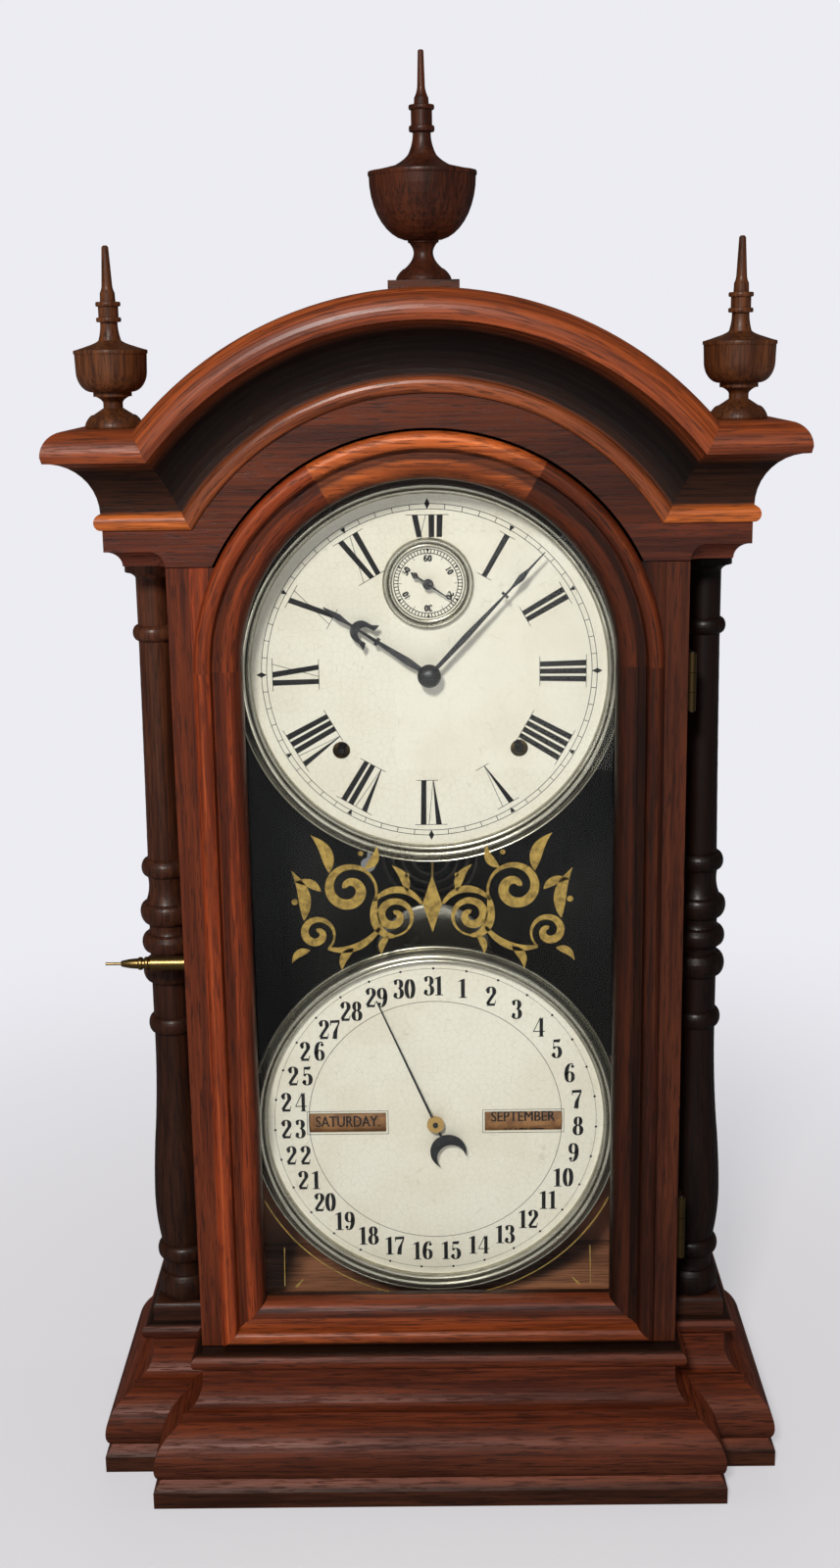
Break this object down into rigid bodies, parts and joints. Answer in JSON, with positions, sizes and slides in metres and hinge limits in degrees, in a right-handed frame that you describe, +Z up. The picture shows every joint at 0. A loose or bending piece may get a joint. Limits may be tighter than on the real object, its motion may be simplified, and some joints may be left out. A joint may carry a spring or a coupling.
{
  "type": "double dial calendar clock",
  "caption": "Wooden shelf clock with an arched glazed door, a time dial over a calendar dial, turned columns, a moulded breakfront base and urn finials.",
  "frame": {"origin": "middle of the underside, on the shelf", "axes": "+Z up, front with the door faces -Y, +X to the right seen from the front"},
  "size_m": [0.4048, 0.17, 0.8087],
  "materials": {
    "walnut": "satin shellac",
    "walnut_light": "satin shellac",
    "walnut_dark": "dark satin shellac",
    "inside_wood": "matt stain",
    "glass": "clear",
    "brass": "aged satin",
    "nickel": "polished nickel",
    "dial_paint": "semi-matt cream paint",
    "blued_steel": "satin black",
    "steel": "satin",
    "iron": "black lacquer",
    "roller_paper": "paper-covered wood, satin"
  },
  "bodies": {
    "case": {"base_plinth": "walnut", "base_bay_moulding": "walnut", "base_left_moulding": "walnut", "base_right_moulding": "walnut", "column_blocks": "walnut", "case_side_left": "walnut", "case_side_right": "walnut", "head_left": "walnut", "head_right": "walnut", "strip_left": "walnut", "strip_right": "walnut", "frieze": "walnut", "finial_block": "walnut", "finial_middle": "walnut", "finial_left": "walnut", "finial_right": "walnut", "base_cap": "walnut_light", "cornice_left": "walnut_light", "cornice_arch": "walnut_light", "cornice_right": "walnut_light", "column_left": "walnut_dark", "column_right": "walnut_dark", "case_back": "inside_wood", "dial_cleats": "inside_wood", "movement_rails": "inside_wood", "hinge_case_leaves": "brass", "hinge_pins": "brass", "front_plate": "brass", "back_plate": "brass", "time_bezel": "nickel", "seconds_ring": "nickel", "calendar_bezel": "nickel", "time_dial": "dial_paint", "calendar_dial": "dial_paint", "gong": "steel", "calendar_frame": "iron"},
    "door": {"door_glass": "glass", "door_head_left": "walnut", "door_head_middle": "walnut_light", "door_head_right": "walnut", "door_rail": "walnut", "door_stile_left": "walnut", "door_stile_right": "walnut", "glass_beading": "walnut", "hinge_door_leaves": "brass"},
    "pull": {"door_pull": "brass"},
    "minute": {"minute_hand": "blued_steel", "centre_arbor": "blued_steel"},
    "hour": {"hour_hand": "blued_steel"},
    "seconds": {"seconds_hand": "blued_steel", "escape_wheel": "brass"},
    "pendulum": {"pendulum_rod": "brass", "pendulum_bob": "nickel"},
    "verge": {"verge": "steel"},
    "hammer": {"hammer": "steel"},
    "winding_time": {"winding_right": "brass"},
    "winding_strike": {"winding_left": "brass"},
    "date": {"date_hand": "blued_steel"},
    "day": {"day_roller": "roller_paper"},
    "month": {"month_roller": "roller_paper"}
  },
  "joints": [
    {"name": "door_swing", "type": "hinge", "parent": "case", "child": "door", "pos_m": [0.1426, -0.0495, 0.31], "axis": [0, 0, 1], "range_deg": [0, 115]},
    {"name": "pull_turn", "type": "hinge", "parent": "door", "child": "pull", "pos_m": [-0.1403, -0.042, 0.3224], "axis": [1, 0, 0], "range_deg": [0, 90]},
    {"name": "minute_turn", "type": "hinge", "parent": "case", "child": "minute", "pos_m": [0, -0.013, 0.4826], "axis": [0, 1, 0], "continuous": true},
    {"name": "hour_turn", "type": "hinge", "parent": "case", "child": "hour", "pos_m": [0, -0.013, 0.4826], "axis": [0, 1, 0], "continuous": true},
    {"name": "seconds_turn", "type": "hinge", "parent": "case", "child": "seconds", "pos_m": [0, -0.013, 0.533], "axis": [0, 1, 0], "continuous": true},
    {"name": "pendulum_swing", "type": "hinge", "parent": "case", "child": "pendulum", "pos_m": [0, 0.047, 0.557], "axis": [0, 1, 0], "range_deg": [-4, 4]},
    {"name": "verge_rock", "type": "hinge", "parent": "case", "child": "verge", "pos_m": [0, 0.04, 0.557], "axis": [0, 1, 0], "range_deg": [-4, 4]},
    {"name": "hammer_lift", "type": "hinge", "parent": "case", "child": "hammer", "pos_m": [-0.03, 0.037, 0.4216], "axis": [0, 1, 0], "range_deg": [0, 12]},
    {"name": "winding_time_turn", "type": "hinge", "parent": "case", "child": "winding_time", "pos_m": [0.0505, 0.005, 0.4386], "axis": [0, 1, 0], "continuous": true},
    {"name": "winding_strike_turn", "type": "hinge", "parent": "case", "child": "winding_strike", "pos_m": [-0.0505, 0.005, 0.4386], "axis": [0, 1, 0], "continuous": true},
    {"name": "date_turn", "type": "hinge", "parent": "case", "child": "date", "pos_m": [0, -0.013, 0.2114], "axis": [0, 1, 0], "continuous": true},
    {"name": "day_turn", "type": "hinge", "parent": "case", "child": "day", "pos_m": [-0.0524, 0.0026, 0.2107], "axis": [1, 0, 0], "continuous": true},
    {"name": "month_turn", "type": "hinge", "parent": "case", "child": "month", "pos_m": [0.0524, 0.0096, 0.2107], "axis": [1, 0, 0], "continuous": true}
  ],
  "couplings": [
    {"joint": "hour_turn", "follows": "minute_turn", "ratio": 0.083333},
    {"joint": "verge_rock", "follows": "pendulum_swing", "ratio": 1},
    {"joint": "day_turn", "follows": "date_turn", "ratio": 4.4286},
    {"joint": "month_turn", "follows": "date_turn", "ratio": 0.083333}
  ]
}
